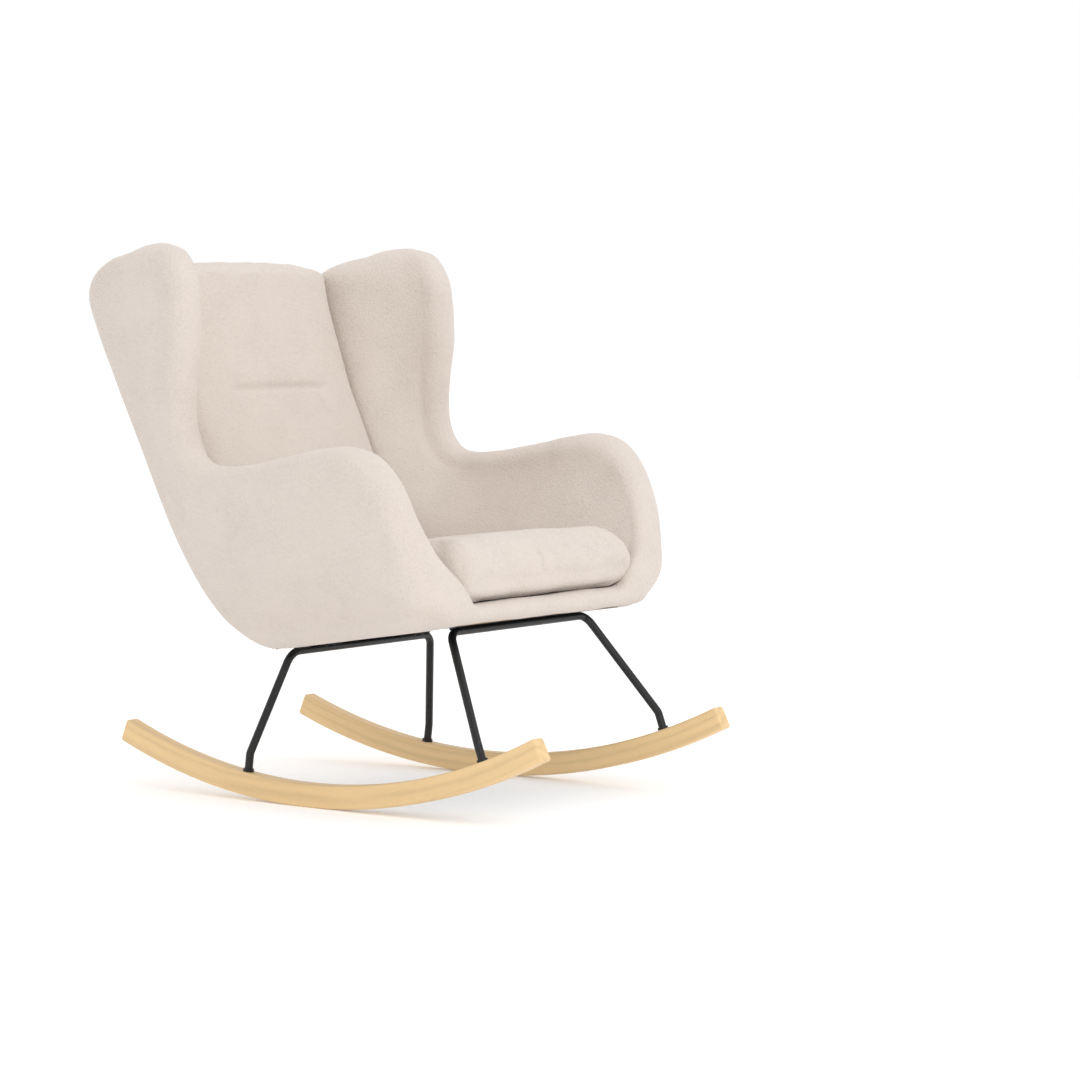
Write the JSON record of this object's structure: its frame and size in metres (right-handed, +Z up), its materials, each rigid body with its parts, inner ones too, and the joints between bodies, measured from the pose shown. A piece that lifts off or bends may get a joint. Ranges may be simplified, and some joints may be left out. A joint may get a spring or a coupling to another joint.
{
  "type": "rocking nursery chair",
  "caption": "Upholstered high wing chair on curved wooden runners, with bent steel rod leg frames and a loose seat cushion.",
  "frame": {"origin": "on the floor, midway between the runners and midway along them", "axes": "+Z up, -Y the way a sitter faces, +X the sitter's left"},
  "size_m": [0.7942, 0.9177, 0.948],
  "materials": {
    "light_wood": "satin",
    "black_steel": "satin",
    "zinc_steel": "satin",
    "frame_timber": "matte",
    "plywood": "matte",
    "black_cloth": "matte",
    "foam": "matte",
    "cream_fabric": "matte"
  },
  "bodies": {
    "chair": {"runner_left": "light_wood", "runner_right": "light_wood", "runner_bolts": "zinc_steel", "leg_collars": "black_steel", "rear_leg_frame": "black_steel", "front_leg_frame": "black_steel", "mount_plates": "black_steel", "plate_screws": "zinc_steel", "front_rail": "frame_timber", "rear_rail": "frame_timber", "left_rail": "frame_timber", "right_rail": "frame_timber", "corner_blocks": "frame_timber", "seat_webbing": "black_cloth", "dust_cover": "black_cloth", "seat_deck_pad": "foam", "front_rail_pad": "cream_fabric", "side_bolts": "zinc_steel", "left_side_board": "plywood", "right_side_board": "plywood", "left_rear_post": "frame_timber", "right_rear_post": "frame_timber", "left_sill": "frame_timber", "right_sill": "frame_timber", "left_wing_pad": "cream_fabric", "right_wing_pad": "cream_fabric", "left_arm_pad": "cream_fabric", "right_arm_pad": "cream_fabric", "left_outer_pad": "cream_fabric", "right_outer_pad": "cream_fabric", "back_board": "plywood", "inner_back_pad": "cream_fabric", "outer_back_pad": "cream_fabric"},
    "cushion": {"cushion_cover": "cream_fabric", "cushion_foam": "foam", "cushion_zip": "black_cloth"},
    "slider": {"zip_slider": "zinc_steel"}
  },
  "joints": [
    {"name": "seat_cushion_lift", "type": "slide", "parent": "chair", "child": "cushion", "axis": [0, 0, 1], "range_m": [0, 0.28]},
    {"name": "zip_slider_run", "type": "slide", "parent": "cushion", "child": "slider", "axis": [-1, 0, 0], "range_m": [0, 0.33]}
  ]
}
